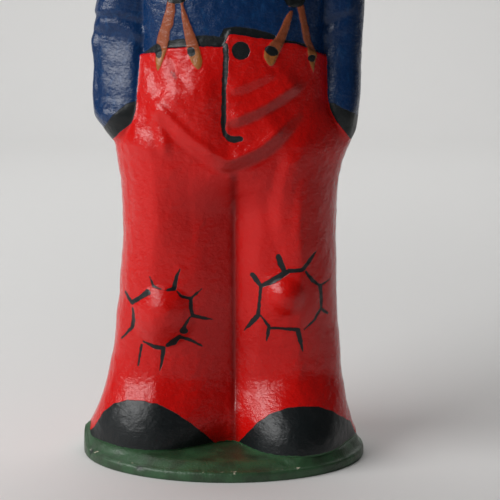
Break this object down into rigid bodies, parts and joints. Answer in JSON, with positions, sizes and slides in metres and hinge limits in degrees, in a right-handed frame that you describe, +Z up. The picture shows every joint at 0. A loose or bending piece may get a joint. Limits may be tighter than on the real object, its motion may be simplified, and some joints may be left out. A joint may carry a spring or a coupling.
{
  "type": "papier-mache figure",
  "caption": "Painted papier-mache figure of a standing man in patched trousers and braces, hands in his pockets, on a thin oval base plate.",
  "frame": {"origin": "middle of the base plate's flat underside", "axes": "+Z up to the crown of the head, the figure faces -Y, +X towards the viewer's right as they face it"},
  "size_m": [0.098, 0.0734, 0.246],
  "materials": {
    "painted_clothes": "varnished paint on papier-mache: red trousers, blue shirt, black shoes and stitches, brown braces and hair",
    "painted_ground": "varnished dark green paint on papier-mache, chipped along the rim"
  },
  "bodies": {
    "root": {"figure": "painted_clothes", "base": "painted_ground"}
  },
  "joints": []
}
